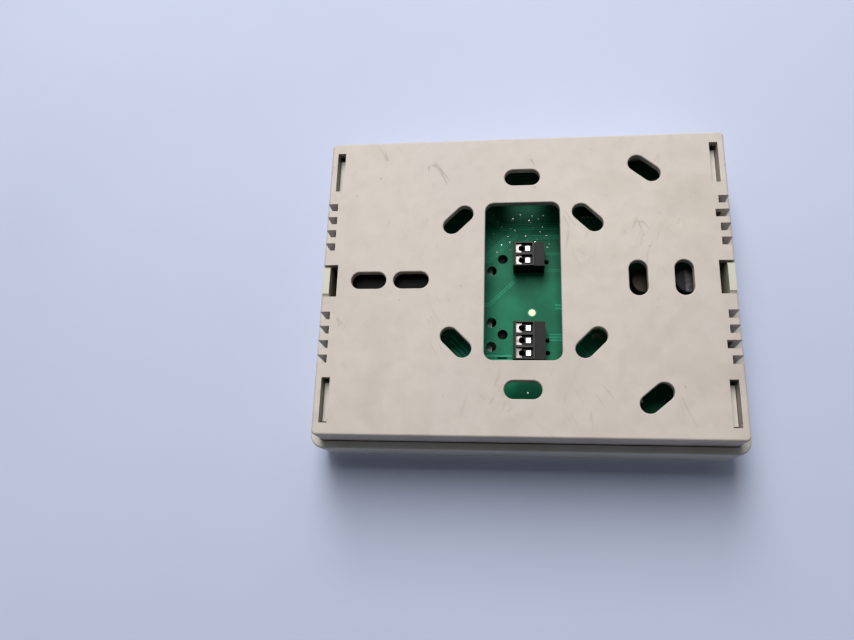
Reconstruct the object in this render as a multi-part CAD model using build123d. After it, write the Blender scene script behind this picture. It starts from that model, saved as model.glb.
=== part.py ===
from build123d import *

import os

# A wall thermostat that has been unclipped from its wall, in millimetres. +Z runs up the wall, the back face
# lies at y = 0 and looks along +Y, the front looks along -Y, and the origin is the middle of the back face.

# ---- overall sizes ----
overall_height = 114.3
overall_width = 88.9
overall_depth = 25.4

# ---- front cover ----
side_wall = 2.0
end_wall = 2.4
front_wall = 2.0
cover_corner_radius = 3.8
front_edge_radius = 3.0
rim_edge_radius = 0.6
rim_band = 1.2
cover_draft = 1.5
seam_depth = 9.2
rib_thickness = 1.2
rib_clearance = 0.2
rib_side_clearance = 0.8
rib_tip_depth = 3.2
root_overlap = 0.5
cut_margin = 1.0

# ---- rear plate ----
seam_side_gap = 0.2
seam_end_gap = 0.25
plate_floor = 2.0
plate_wall = 1.8
plate_corner_radius = 1.3
plate_edge_radius = 0.6
opening_edge_radius = 0.3
plate_skirt_lap = 2.8

# ---- screw slots and wiring opening ----
slot_length = 9.7
slot_width = 4.8
box_spacing = 60.0
gang_spacing = 83.3
inner_diagonal_reach = 17.5
corner_slot_edge_gap = 10.45
corner_slot_z = 33.0
corner_slot_turn = 50.0
wiring_opening_width = 44.5
wiring_opening_height = 20.2
wiring_corner_radius = 2.4

# ---- windows, vents and latches in the plate's short ends ----
window_height = 2.25
corner_window_width = 12.0
corner_window_edge_gap = 3.2
vent_pitch = 4.0
vent_width = 2.2
vent_depth = 2.8
deep_vent_depth = 3.8
first_vent_x = 10.0
vents_per_side = 4
deep_vent_index = 2
vent_floor_above_seam = 0.5
tongue_width = 8.8
tongue_side_gap = 0.2
tongue_flush_gap = 0.1
tongue_swing_gap = 2.2
tongue_thickness = 1.8
tongue_tip_depth = 0.3
tongue_tip_chamfer = 0.8
tongue_cradle_thickness = 1.0
tongue_foot_clearance = 0.15

# ---- circuit board ----
board_depth = 12.0
board_thickness = 1.6
board_side_gap = 0.95
board_latch_gap = 0.9
board_corner_radius = 2.0
board_screw_inset_x = 4.0
board_screw_inset_z = 4.5
boss_radius = 2.6
screw_shank_radius = 1.1
screw_hole_clearance = 0.2
screw_bore_clearance = 0.03
screw_head_radius = 2.0
screw_head_height = 1.5
screw_head_edge_radius = 0.5
screw_cross_length = 2.4
screw_cross_width = 0.6
screw_cross_depth = 0.8
screw_length = 8.0
screw_end_room = 0.5

# ---- terminals ----
pole_pitch = 3.5
block_depth = 6.0
two_pole_centre_x = -9.7
three_pole_centre_x = 15.15
block_upper_wall = 0.75
block_ledge_width = 2.85
block_ledge_drop = 0.5
recess_divider = 0.6
recess_end_wall = 0.45
recess_end_gap = 0.4
recess_drop = 0.7
wire_hole_z = 0.25
wire_hole_radius = 0.8
wire_hole_floor = 0.5
hole_web = 0.1
contact_thickness = 0.3
contact_hole_clearance = 0.05
contact_gap = 0.05
pin_width = 0.8
pin_thickness = 0.5
pin_length_past_board = 1.2
pin_hole_radius = 0.6
clamp_width = 1.7
clamp_height = 1.5
clamp_gap = 0.08
clamp_travel = 0.9
clamp_length = 3.2
clamp_end_room = 0.7
clamp_edge_chamfer = 0.15

# ---- round holes in the board beside the terminals ----
guide_hole_radius = 1.4
guide_hole_near_z = 5.55
guide_hole_far_z = 8.65
guide_hole_starts = ((-10.4, 2, 0), (8.5, 4, 1))
peg_hole_radius = 0.65
peg_hole_z = -6.75
peg_hole_shift = 0.35

# ---- display ----
display_boss_gap = 0.4
window_opening_width = 58.0
window_opening_height = 32.0
window_corner_radius = 2.0
window_clearance = 0.15
window_recess = 0.3
window_flange = 2.0
window_flange_thickness = 1.0
lcd_margin_x = 1.0
lcd_margin_z = 2.0
lcd_thickness = 2.2
lcd_front_gap = 0.2
lcd_frame_wall = 1.8
lcd_frame_gap = 0.2
lcd_frame_corner_radius = 1.5
backlight_inset_x = 4.0
backlight_inset_z = 4.5
backlight_pin_gap = 0.2
contact_strip_thickness = 2.0
contact_strip_inset = 1.0

# ---- buttons ----
button_names = ("mode", "fan", "down", "up")
button_width = 13.0
button_height = 8.0
button_pitch = 17.0
button_corner_radius = 2.0
button_clearance = 0.2
button_recess = 0.3
button_flange = 1.0
button_flange_thickness = 1.0
button_flange_gap = 0.1
button_flange_corner_radius = 1.0
button_edge_chamfer = 0.4
button_stem_radius = 2.0
button_travel = 0.8
button_stop_gap = 0.15
key_mat_thickness = 1.2
key_mat_margin = 2.0
key_mat_corner_radius = 1.5
key_dome_radius = 3.0
key_dome_height = 1.8
key_dome_chamfer = 0.8
key_dome_root = 0.2

# ---- parts on the board ----
part_gap = 0.05
relay_width = 18.0
relay_height = 12.0
relay_tall = 8.2
relay_edge_radius = 0.5
relay_edge_gap = 0.5
relay_spacing_gap = 0.5
capacitor_radius = 4.0
capacitor_tall = 7.2
capacitor_base_tall = 1.2
capacitor_can_inset = 0.2
capacitor_edge_radius = 0.6
capacitor_x = -1.0
capacitor_edge_gap = 1.5
choke_size = 7.0
choke_tall = 4.5
choke_base_tall = 1.0
choke_flange_tall = 0.9
choke_waist = 0.8
choke_x = -2.0
choke_gap = 3.5
processor_size = 12.0
processor_tall = 1.4
processor_edge_gap = 4.5
processor_z = -22.0
processor_leads_per_side = 16
lead_pitch = 0.65
lead_width = 0.3
lead_reach = 1.0
lead_thickness = 0.2
lead_height = 0.6
memory_width = 5.0
memory_height = 4.0
memory_tall = 1.5
memory_edge_gap = 9.0
memory_z = 24.0
crystal_length = 11.0
crystal_width = 4.6
crystal_tall = 3.5
crystal_edge_radius = 0.5
crystal_edge_gap = 6.0
crystal_z = -38.0
rectifier_width = 8.0
rectifier_height = 6.4
rectifier_tall = 2.6
rectifier_edge_gap = 7.5
rectifier_z = -16.0
sensor_radius = 1.2
sensor_length = 4.0
sensor_x = 21.0
sensor_edge_gap = 1.3
sensor_stand_off = 4.0
sensor_lead_radius = 0.25
sensor_lead_spread = 1.27
sensor_lead_run = 6.0
sensor_lead_tail = 0.5
sensor_lead_hole_gap = 0.15

# ---- sizes that follow ----
plate_width = overall_width - 2 * (side_wall + seam_side_gap)
plate_height = overall_height - 2 * (end_wall + seam_end_gap)
plate_end = plate_height / 2
plate_inner_end = plate_end - plate_wall
plate_depth = seam_depth + plate_skirt_lap
corner_slot_x = plate_width / 2 - corner_slot_edge_gap
corner_window_outer_x = plate_width / 2 - corner_window_edge_gap
corner_window_inner_x = corner_window_outer_x - corner_window_width
cover_floor = -(overall_depth - front_wall)
cover_inner_width = overall_width - 2 * side_wall
cover_inner_height = overall_height - 2 * end_wall
board_front = -(board_depth + board_thickness)
tongue_outer_z = plate_end - tongue_flush_gap
tongue_mid_z = tongue_outer_z - tongue_thickness / 2
tongue_hinge_y = cover_floor + tongue_foot_clearance + tongue_thickness / 2
latch_window_z = tongue_outer_z - tongue_thickness - tongue_swing_gap
board_width = plate_width - 2 * (plate_wall + board_side_gap)
board_height = 2 * (latch_window_z - board_latch_gap)
board_side = board_width / 2
board_end = board_height / 2
board_screw_x = board_side - board_screw_inset_x
board_screw_z = board_end - board_screw_inset_z
pin_z = wire_hole_z + wire_hole_radius + hole_web + contact_gap + pin_thickness / 2
clamp_z = wire_hole_z - wire_hole_radius - hole_web - clamp_gap - clamp_height / 2
recess_width = pole_pitch - recess_divider
recess_z_high = pin_z + pin_thickness / 2 + 2 * contact_gap
recess_z_low = clamp_z - clamp_height / 2 - clamp_gap - recess_end_gap
block_z_high = recess_z_high + block_upper_wall
block_ledge_z = recess_z_low - recess_end_wall
block_z_low = block_ledge_z - block_ledge_width
recess_floor = -(block_depth + recess_drop)
lcd_width = window_opening_width + 2 * lcd_margin_x
lcd_height = window_opening_height + 2 * lcd_margin_z
lcd_frame_width = lcd_width + 2 * (lcd_frame_gap + lcd_frame_wall)
lcd_frame_height = lcd_height + 2 * (lcd_frame_gap + lcd_frame_wall)
display_z = board_screw_z - boss_radius - display_boss_gap - lcd_frame_height / 2
window_flange_back = cover_floor + window_flange_thickness
lcd_front = window_flange_back + lcd_front_gap
lcd_back = lcd_front + lcd_thickness
backlight_back = board_front - pin_length_past_board - backlight_pin_gap
button_z = (display_z - lcd_frame_height / 2 - board_end) / 2
key_dome_top = board_front - key_mat_thickness - key_dome_height
button_stem_end = key_dome_top - button_travel - button_stop_gap
relay_top_z = board_end - relay_edge_gap - relay_height / 2
relay_zs = [relay_top_z - relay_height - relay_spacing_gap, relay_top_z]
capacitor_z = capacitor_edge_gap + capacitor_radius - board_end
choke_z = capacitor_z + capacitor_radius + choke_gap + choke_size / 2
processor_x = processor_edge_gap + processor_size / 2 - board_side
memory_x = memory_edge_gap + memory_width / 2 - board_side
crystal_x = crystal_edge_gap + crystal_length / 2 - board_side
rectifier_x = board_side - rectifier_edge_gap - rectifier_width / 2
sensor_z = sensor_edge_gap + sensor_radius - board_end
two_pole_xs = [two_pole_centre_x + (i - 0.5) * pole_pitch for i in range(2)]
three_pole_xs = [three_pole_centre_x + (i - 1) * pole_pitch for i in range(3)]
peg_hole_xs = [x + peg_hole_shift for x in (two_pole_centre_x, three_pole_centre_x - pole_pitch / 2,
                                            three_pole_centre_x + pole_pitch / 2)]


def block(x_low, x_high, y_low, y_high, z_low, z_high):
    """A box between two corners."""
    centre = ((x_low + x_high) / 2, (y_low + y_high) / 2, (z_low + z_high) / 2)
    return Pos(*centre) * Box(x_high - x_low, y_high - y_low, z_high - z_low)


def prism(sketch, y_start, depth, x=0.0, z=0.0, taper=0.0):
    """A sketch in X and Z, standing at y_start and drawn out towards the front."""
    plane = Plane(origin=(x, y_start, z), x_dir=(1, 0, 0), z_dir=(0, -1, 0))
    return extrude(plane * sketch, amount=depth, taper=taper)


def through_floor(sketch, x=0.0, z=0.0):
    """The space of an opening right through the plate's floor."""
    return prism(sketch, cut_margin, plate_floor + 2 * cut_margin, x, z)


def through_front(sketch, x, z):
    """The space of an opening right through the cover's front wall."""
    return prism(sketch, cover_floor + cut_margin, front_wall + 2 * cut_margin, x, z)


def span(end, reach_a, reach_b):
    """Low and high coordinates between two distances from the middle, on the side given by end."""
    return sorted((end * reach_a, end * reach_b))


def screw_slot(x, z, turn):
    """The space of one obround screw slot through the plate's floor."""
    return through_floor(SlotOverall(slot_length, slot_width, rotation=turn), x, z)


def make_rear_plate():
    """Shallow tray whose skirt laps inside the cover."""
    body = prism(RectangleRounded(plate_width, plate_height, plate_corner_radius), 0, plate_depth)
    body = fillet(body.edges().group_by(Axis.Y)[-1], plate_edge_radius)
    inner_width = plate_width - 2 * plate_wall
    inner_height = plate_height - 2 * plate_wall
    body -= prism(Rectangle(inner_width, inner_height), -plate_floor, plate_depth)
    body -= through_floor(RectangleRounded(wiring_opening_width, wiring_opening_height, wiring_corner_radius))
    half_box = box_spacing / 2
    half_gang = gang_spacing / 2
    spots = [(half_box, 0, 90), (-half_box, 0, 90)]
    spots += [(0, half_box, 90), (0, half_gang, 90), (0, -half_box, 0), (0, -half_gang, 0)]
    for side_x in (-1, 1):
        for side_z in (-1, 1):
            reach = inner_diagonal_reach
            spots.append((side_x * reach, side_z * reach, -45 * side_x * side_z))
        spots.append((side_x * corner_slot_x, -corner_slot_z, corner_slot_turn * side_x))
    for x, z, turn in spots:
        body -= screw_slot(x, z, turn)
    back_face = body.faces().sort_by(Axis.Y)[-1]
    body = fillet(back_face.inner_wires().edges(), opening_edge_radius)
    outer = plate_end + cut_margin
    floor = -(seam_depth - vent_floor_above_seam)
    for end in (-1, 1):
        for side in (-1, 1):
            xs = span(side, corner_window_inner_x, corner_window_outer_x)
            zs = span(end, plate_inner_end, plate_inner_end - window_height)
            body -= block(*xs, -plate_floor - cut_margin, cut_margin, *zs)
            for i in range(vents_per_side):
                x = side * (first_vent_x + i * vent_pitch)
                is_deep = end < 0 and i == deep_vent_index
                reach = deep_vent_depth if is_deep else vent_depth
                body -= block(x - vent_width / 2, x + vent_width / 2, floor, cut_margin,
                              *span(end, plate_end - reach, outer))
        half = tongue_width / 2 + tongue_side_gap
        body -= block(-half, half, -plate_depth - cut_margin, cut_margin, *span(end, latch_window_z, outer))
    return body


def make_front_cover():
    """Open shell with the display and button openings, guide ribs, screw bosses and tongue cradles."""
    depth = overall_depth - seam_depth
    outline = RectangleRounded(overall_width, overall_height, cover_corner_radius)
    body = prism(outline, -seam_depth, rim_band)
    body += prism(outline, -seam_depth - rim_band, depth - rim_band, taper=cover_draft)
    body = fillet(body.edges().group_by(Axis.Y)[0], front_edge_radius)
    body = fillet(body.edges().group_by(Axis.Y)[-1], rim_edge_radius)
    cavity = RectangleRounded(cover_inner_width, cover_inner_height, plate_corner_radius + seam_side_gap)
    body -= prism(cavity, -seam_depth, depth - front_wall)
    for side in (-1, 1):
        for end in (-1, 1):
            x, z = side * board_screw_x, end * board_screw_z
            body += prism(Circle(boss_radius), board_front, board_front - cover_floor + root_overlap, x, z)
            bore = Circle(screw_shank_radius + screw_bore_clearance)
            body -= prism(bore, board_front, screw_length - board_thickness + screw_end_room, x, z)
            rib_inner_x = corner_window_inner_x + rib_side_clearance
            rib_outer_x = corner_window_outer_x - rib_side_clearance
            xs = span(side, rib_inner_x, rib_outer_x)
            tip = plate_inner_end - rib_clearance
            zs = span(end, tip, tip - rib_thickness)
            body += block(*xs, cover_floor - root_overlap, -rib_tip_depth, *zs)
    for end in (-1, 1):
        inner = tongue_outer_z - tongue_thickness - tongue_foot_clearance
        half = tongue_width / 2
        body += block(-half, half, cover_floor - root_overlap, tongue_hinge_y,
                      *span(end, inner, inner - tongue_cradle_thickness))
    opening = RectangleRounded(window_opening_width, window_opening_height, window_corner_radius)
    body -= through_front(opening, 0, display_z)
    for x in button_xs():
        hole = RectangleRounded(button_width, button_height, button_corner_radius)
        body -= through_front(hole, x, button_z)
    return body


def button_xs():
    """Centres of the row of buttons, left to right as seen from the room."""
    middle = (len(button_names) - 1) / 2
    return [(i - middle) * button_pitch for i in range(len(button_names))]


def make_button(x):
    """Cap in the cover's opening, a flange that keeps it in, and a stem over its rubber dome."""
    front = -overall_depth + button_recess
    flange_front = cover_floor + button_flange_gap
    cap = RectangleRounded(button_width - 2 * button_clearance, button_height - 2 * button_clearance,
                           button_corner_radius - button_clearance)
    body = prism(cap, flange_front, flange_front - front, x, button_z)
    body = chamfer(body.edges().group_by(Axis.Y)[0], button_edge_chamfer)
    flange = RectangleRounded(button_width + 2 * button_flange, button_height + 2 * button_flange,
                              button_flange_corner_radius)
    flange_back = flange_front + button_flange_thickness
    body += prism(flange, flange_back, button_flange_thickness, x, button_z)
    body += prism(Circle(button_stem_radius), button_stem_end, button_stem_end - flange_back, x, button_z)
    return body


def make_key_mat():
    """Rubber sheet on the board's front with one dome under each button."""
    width = (len(button_names) - 1) * button_pitch + button_width + 2 * key_mat_margin
    height = button_height + 2 * key_mat_margin
    sheet = RectangleRounded(width, height, key_mat_corner_radius)
    body = prism(sheet, board_front, key_mat_thickness, 0, button_z)
    base = board_front - key_mat_thickness + key_dome_root
    for x in button_xs():
        dome = prism(Circle(key_dome_radius), base, key_dome_height + key_dome_root, x, button_z)
        body += chamfer(dome.edges().group_by(Axis.Y)[0], key_dome_chamfer)
    return body


def make_display_window():
    """Clear stepped pane, glued behind the cover's opening."""
    pane = RectangleRounded(window_opening_width - 2 * window_clearance,
                            window_opening_height - 2 * window_clearance,
                            window_corner_radius - window_clearance)
    flange = RectangleRounded(window_opening_width + 2 * window_flange,
                              window_opening_height + 2 * window_flange, window_corner_radius)
    body = prism(pane, cover_floor, front_wall - window_recess, 0, display_z)
    body += prism(flange, window_flange_back, window_flange_thickness, 0, display_z)
    return body


def make_lcd_frame():
    """Rectangular holder that stands on the board and locates the display glass."""
    inner = Rectangle(lcd_width + 2 * lcd_frame_gap, lcd_height + 2 * lcd_frame_gap)
    outer = RectangleRounded(lcd_frame_width, lcd_frame_height, lcd_frame_corner_radius)
    return prism(outer - inner, board_front, board_front - lcd_front, 0, display_z)


def make_backlight():
    """Light box taped to the back of the glass, between the contact strips."""
    outline = Rectangle(lcd_width - 2 * backlight_inset_x, lcd_height - 2 * backlight_inset_z)
    return prism(outline, backlight_back, backlight_back - lcd_back, 0, display_z)


def make_lcd_contact_strips():
    """Two rubber strips that join the glass to the board, along its upper and lower edges."""
    strips = []
    width = lcd_width - 2 * backlight_inset_x
    for end in (-1, 1):
        z = display_z + end * (lcd_height / 2 - contact_strip_inset - contact_strip_thickness / 2)
        strip = Rectangle(width, contact_strip_thickness)
        strips.append(prism(strip, board_front, board_front - lcd_back, 0, z))
    return Compound(children=strips)


def guide_holes():
    """Centres of the larger round holes, which step from side to side at the pole pitch."""
    spots = []
    for start, count, first_is_far in guide_hole_starts:
        for i in range(count):
            is_far = (i + 1 + first_is_far) % 2 == 0
            z = guide_hole_far_z if is_far else guide_hole_near_z
            spots.append((start + i * pole_pitch, z))
    return spots


def make_circuit_board():
    """Board with its screw, pin, guide and peg holes."""
    outline = RectangleRounded(board_width, board_height, board_corner_radius)
    body = prism(outline, -board_depth, board_thickness)
    holes = [(x, z, guide_hole_radius) for x, z in guide_holes()]
    holes += [(x, peg_hole_z, peg_hole_radius) for x in peg_hole_xs]
    holes += [(x, pin_z, pin_hole_radius) for x in two_pole_xs + three_pole_xs]
    for side in (-1, 1):
        for end in (-1, 1):
            radius = screw_shank_radius + screw_hole_clearance
            holes.append((side * board_screw_x, end * board_screw_z, radius))
        sensor_lead_x = sensor_x + side * sensor_lead_spread
        holes.append((sensor_lead_x, sensor_z + sensor_lead_run, sensor_lead_radius + sensor_lead_hole_gap))
    for x, z, radius in holes:
        body -= prism(Circle(radius), -board_depth + cut_margin, board_thickness + 2 * cut_margin, x, z)
    return body


def make_terminal_block(xs):
    """Black housing with a framed recess, a wire hole, a clamp shaft and a pin slot for each pole."""
    x_low = min(xs) - pole_pitch / 2
    x_high = max(xs) + pole_pitch / 2
    body = block(x_low, x_high, -board_depth, -block_depth, block_z_low, block_z_high)
    body -= block(x_low - cut_margin, x_high + cut_margin, -block_depth - block_ledge_drop, cut_margin,
                  block_z_low - cut_margin, block_ledge_z)
    for x in xs:
        half = recess_width / 2
        low = recess_floor - contact_thickness
        body -= block(x - half, x + half, low, cut_margin, recess_z_low, recess_z_high)
        hole_depth = board_depth - wire_hole_floor + recess_floor
        body -= prism(Circle(wire_hole_radius), recess_floor, hole_depth, x, wire_hole_z)
        half_x = clamp_width / 2 + clamp_gap
        half_z = clamp_height / 2 + clamp_gap
        shaft_floor = recess_floor - clamp_length - clamp_travel - clamp_end_room
        body -= block(x - half_x, x + half_x, shaft_floor, recess_floor, clamp_z - half_z, clamp_z + half_z)
        half_x = pin_width / 2 + contact_gap
        half_z = pin_thickness / 2 + contact_gap
        low = -board_depth - cut_margin
        body -= block(x - half_x, x + half_x, low, recess_floor, pin_z - half_z, pin_z + half_z)
    return body


def make_contacts(xs):
    """One tinned plate for each pole, holed for the wire and the clamp, with its solder pin."""
    contacts = []
    for x in xs:
        half = recess_width / 2 - contact_gap
        plate_z_high = recess_z_high - contact_gap
        plate_z_low = wire_hole_z
        top = recess_floor
        plate = block(x - half, x + half, top - contact_thickness, top, plate_z_low, plate_z_high)
        hole = Circle(wire_hole_radius + contact_hole_clearance)
        plate -= prism(hole, top + cut_margin, contact_thickness + 2 * cut_margin, x, wire_hole_z)
        half_x, half_z = pin_width / 2, pin_thickness / 2
        pin_end = board_front - pin_length_past_board
        pin_top = top - contact_thickness / 2
        plate += block(x - half_x, x + half_x, pin_end, pin_top, pin_z - half_z, pin_z + half_z)
        contacts.append(plate)
    return Compound(children=contacts)


def make_wire_clamp(x):
    """Head of one spring clamp, standing in its shaft with its travel below it."""
    half_x, half_z = clamp_width / 2, clamp_height / 2
    top = recess_floor
    head = block(x - half_x, x + half_x, top - clamp_length, top, clamp_z - half_z, clamp_z + half_z)
    return chamfer(head.edges().group_by(Axis.Y)[-1], clamp_edge_chamfer)


def make_tongue(end):
    """Springy latch tongue: a rounded foot in the cover and a head flush with the plate's back face."""
    half = tongue_width / 2
    zs = span(end, tongue_outer_z, tongue_outer_z - tongue_thickness)
    body = block(-half, half, tongue_hinge_y, -tongue_tip_depth, *zs)
    foot = Pos(0, tongue_hinge_y, end * tongue_mid_z) * Rot(0, 90, 0)
    body += foot * Cylinder(tongue_thickness / 2, tongue_width)
    tip_edges = body.edges().group_by(Axis.Y)[-1].filter_by(Axis.Z)
    return chamfer(tip_edges, tongue_tip_chamfer)


def make_board_screws():
    """Four self-tapping screws through the board into the cover's bosses."""
    head_top = -board_depth + screw_head_height
    cross = Rectangle(screw_cross_length, screw_cross_width)
    cross += Rectangle(screw_cross_width, screw_cross_length)
    screws = []
    for side in (-1, 1):
        for end in (-1, 1):
            x, z = side * board_screw_x, end * board_screw_z
            head = prism(Circle(screw_head_radius), head_top, screw_head_height, x, z)
            head = fillet(head.edges().group_by(Axis.Y)[-1], screw_head_edge_radius)
            head -= prism(cross, head_top + cut_margin, screw_cross_depth + cut_margin, x, z)
            head += prism(Circle(screw_shank_radius), -board_depth, screw_length, x, z)
            screws.append(head)
    return Compound(children=screws)


def on_board(x, z, wide, high, tall):
    """A squared body that sits on the board's back."""
    low = -board_depth + part_gap
    return block(x - wide / 2, x + wide / 2, low, -board_depth + tall, z - high / 2, z + high / 2)


def make_relay(z):
    """Sealed relay with rounded top edges."""
    body = on_board(0, z, relay_width, relay_height, relay_tall)
    return fillet(body.edges().group_by(Axis.Y)[-1], relay_edge_radius)


def make_capacitor():
    """Can on a square base."""
    wide = 2 * capacitor_radius
    base = on_board(capacitor_x, capacitor_z, wide, wide, capacitor_base_tall)
    can_top = -board_depth + capacitor_tall
    outline = Circle(capacitor_radius - capacitor_can_inset)
    can = prism(outline, can_top, capacitor_tall - capacitor_base_tall, capacitor_x, capacitor_z)
    return base + fillet(can.edges().group_by(Axis.Y)[-1], capacitor_edge_radius)


def make_choke():
    """Drum choke: a waisted core between two flanges."""
    half = choke_size / 2
    body = on_board(choke_x, choke_z, choke_size, choke_size, choke_base_tall)
    top = -board_depth + choke_tall
    body += prism(Circle(half - choke_waist), top, choke_tall - choke_base_tall, choke_x, choke_z)
    body += prism(Circle(half), top, choke_flange_tall, choke_x, choke_z)
    return body


def make_processor_leads():
    """Gull-wing leads on all four sides of the processor."""
    leads = []
    half = processor_size / 2
    low = -board_depth + part_gap
    for i in range(processor_leads_per_side):
        along = (i - (processor_leads_per_side - 1) / 2) * lead_pitch
        for turn in range(4):
            flat = block(along - lead_width / 2, along + lead_width / 2, low, low + lead_thickness,
                         half + lead_thickness, half + lead_reach)
            riser = block(along - lead_width / 2, along + lead_width / 2, low, low + lead_height,
                          half, half + lead_thickness)
            lead = Rot(0, 90 * turn, 0) * (flat + riser)
            leads.append(Pos(processor_x, 0, processor_z) * lead)
    return Compound(children=leads)


def make_crystal():
    """Low metal can with round ends."""
    top = -board_depth + crystal_tall
    outline = SlotOverall(crystal_length, crystal_width)
    can = prism(outline, top, crystal_tall - part_gap, crystal_x, crystal_z)
    return fillet(can.edges().group_by(Axis.Y)[-1], crystal_edge_radius)


def make_sensor():
    """Round body of the thermistor, held off the board near the lower vents."""
    place = Pos(sensor_x, -board_depth + sensor_stand_off, sensor_z) * Rot(0, 90, 0)
    body = place * Cylinder(sensor_radius, sensor_length)
    return fillet(body.edges().filter_by(GeomType.CIRCLE), sensor_radius / 2)


def make_sensor_leads():
    """Two bent wires from the board to the thermistor's body."""
    leads = []
    y = -board_depth + sensor_stand_off
    corner_z = sensor_z + sensor_lead_run
    for side in (-1, 1):
        x = sensor_x + side * sensor_lead_spread
        wire = prism(Circle(sensor_lead_radius), y, y - board_front + sensor_lead_tail, x, corner_z)
        start_z = sensor_z + sensor_radius
        run = Pos(x, y, (corner_z + start_z) / 2) * Cylinder(sensor_lead_radius, corner_z - start_z)
        elbow = Pos(x, y, corner_z) * Sphere(sensor_lead_radius)
        leads.append(wire + run + elbow)
    return Compound(children=leads)


nodes = {
    "rear_plate": make_rear_plate(),
    "front_cover": make_front_cover(),
    "display_window": make_display_window(),
    "lcd_panel": prism(Rectangle(lcd_width, lcd_height), lcd_back, lcd_thickness, 0, display_z),
    "lcd_frame": make_lcd_frame(),
    "lcd_contact_strips": make_lcd_contact_strips(),
    "lcd_backlight": make_backlight(),
    "circuit_board": make_circuit_board(),
    "key_mat": make_key_mat(),
    "terminal_block_2_pole": make_terminal_block(two_pole_xs),
    "terminal_block_3_pole": make_terminal_block(three_pole_xs),
    "terminal_contacts_2_pole": make_contacts(two_pole_xs),
    "terminal_contacts_3_pole": make_contacts(three_pole_xs),
    "latch_tongue_top": make_tongue(1),
    "latch_tongue_bottom": make_tongue(-1),
    "board_screws": make_board_screws(),
    "capacitor": make_capacitor(),
    "choke": make_choke(),
    "processor": on_board(processor_x, processor_z, processor_size, processor_size, processor_tall),
    "processor_leads": make_processor_leads(),
    "memory_chip": on_board(memory_x, memory_z, memory_width, memory_height, memory_tall),
    "crystal": make_crystal(),
    "rectifier": on_board(rectifier_x, rectifier_z, rectifier_width, rectifier_height, rectifier_tall),
    "temperature_sensor": make_sensor(),
    "temperature_sensor_leads": make_sensor_leads(),
}
for number, z in enumerate(relay_zs, 1):
    nodes[f"relay_{number}"] = make_relay(z)
for name, x in zip(button_names, button_xs()):
    nodes[f"button_{name}"] = make_button(x)
for number, x in enumerate(two_pole_xs + three_pole_xs, 1):
    nodes[f"wire_clamp_{number}"] = make_wire_clamp(x)

os.makedirs("parts", exist_ok=True)
for name, shape in nodes.items():
    export_step(shape, f"parts/{name}.step")
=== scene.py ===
import math
import random

import bmesh
import bpy
from mathutils import Matrix, Vector


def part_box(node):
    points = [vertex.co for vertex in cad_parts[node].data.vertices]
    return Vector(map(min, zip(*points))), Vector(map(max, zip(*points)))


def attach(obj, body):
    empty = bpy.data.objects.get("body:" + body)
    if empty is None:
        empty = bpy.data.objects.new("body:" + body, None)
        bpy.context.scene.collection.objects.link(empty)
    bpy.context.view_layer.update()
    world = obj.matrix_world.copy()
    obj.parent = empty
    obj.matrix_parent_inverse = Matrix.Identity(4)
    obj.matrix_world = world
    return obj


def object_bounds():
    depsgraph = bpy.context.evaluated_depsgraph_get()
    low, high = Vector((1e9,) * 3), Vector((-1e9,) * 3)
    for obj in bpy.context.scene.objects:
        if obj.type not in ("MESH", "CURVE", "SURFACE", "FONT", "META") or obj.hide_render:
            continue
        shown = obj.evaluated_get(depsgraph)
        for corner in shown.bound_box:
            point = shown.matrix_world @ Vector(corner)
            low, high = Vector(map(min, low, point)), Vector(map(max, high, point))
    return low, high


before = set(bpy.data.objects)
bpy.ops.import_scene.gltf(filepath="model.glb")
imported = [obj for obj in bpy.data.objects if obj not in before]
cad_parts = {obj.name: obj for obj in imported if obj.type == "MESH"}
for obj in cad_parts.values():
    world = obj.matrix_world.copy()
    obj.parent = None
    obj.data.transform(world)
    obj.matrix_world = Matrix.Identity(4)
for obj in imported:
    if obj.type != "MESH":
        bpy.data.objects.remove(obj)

# A room thermostat that has been unclipped and lies on its front, seen from behind. Metres, in the CAD's
# frame: +Z runs up the wall, the flat back looks along +Y, and the floor that it lies on is square to Y.

MM = 0.001
cad_low, cad_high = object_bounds()


# ---- small tools for materials ----

def new_material(name, roughness=0.5, metallic=0.0):
    """A material with its Principled shader, and the two collections that build its nodes."""
    material = bpy.data.materials.new(name)
    material.use_nodes = True
    tree = material.node_tree
    shader = tree.nodes["Principled BSDF"]
    shader.inputs["Roughness"].default_value = roughness
    shader.inputs["Metallic"].default_value = metallic
    return material, tree.nodes, tree.links, shader


def coordinates(nodes):
    """The surface's own place in metres, so that patterns keep their real scale."""
    return nodes.new("ShaderNodeTexCoord").outputs["Object"]


def scaled(nodes, links, source, scale, turn=0.0):
    """Coordinates turned about Y, then multiplied by a different factor on each axis."""
    mapping = nodes.new("ShaderNodeMapping")
    mapping.vector_type = "TEXTURE"
    mapping.inputs["Rotation"].default_value = (0.0, turn, 0.0)
    mapping.inputs["Scale"].default_value = [1.0 / factor for factor in scale]
    links.new(source, mapping.inputs["Vector"])
    return mapping.outputs["Vector"]


def noise(nodes, links, source, size, detail=3.0, distortion=0.0):
    """Noise whose blotches are about size metres across."""
    texture = nodes.new("ShaderNodeTexNoise")
    texture.inputs["Scale"].default_value = 1.0 / size
    texture.inputs["Detail"].default_value = detail
    texture.inputs["Distortion"].default_value = distortion
    links.new(source, texture.inputs["Vector"])
    return texture.outputs["Fac"]


def ramp(nodes, links, source, stops):
    """A colour ramp with (position, grey or colour) stops."""
    node = nodes.new("ShaderNodeValToRGB")
    elements = node.color_ramp.elements
    while len(elements) < len(stops):
        elements.new(0.5)
    for element, (position, value) in zip(elements, stops):
        element.position = position
        element.color = (*value, 1) if isinstance(value, tuple) else (value, value, value, 1)
    links.new(source, node.inputs["Fac"])
    return node.outputs["Color"]


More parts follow.
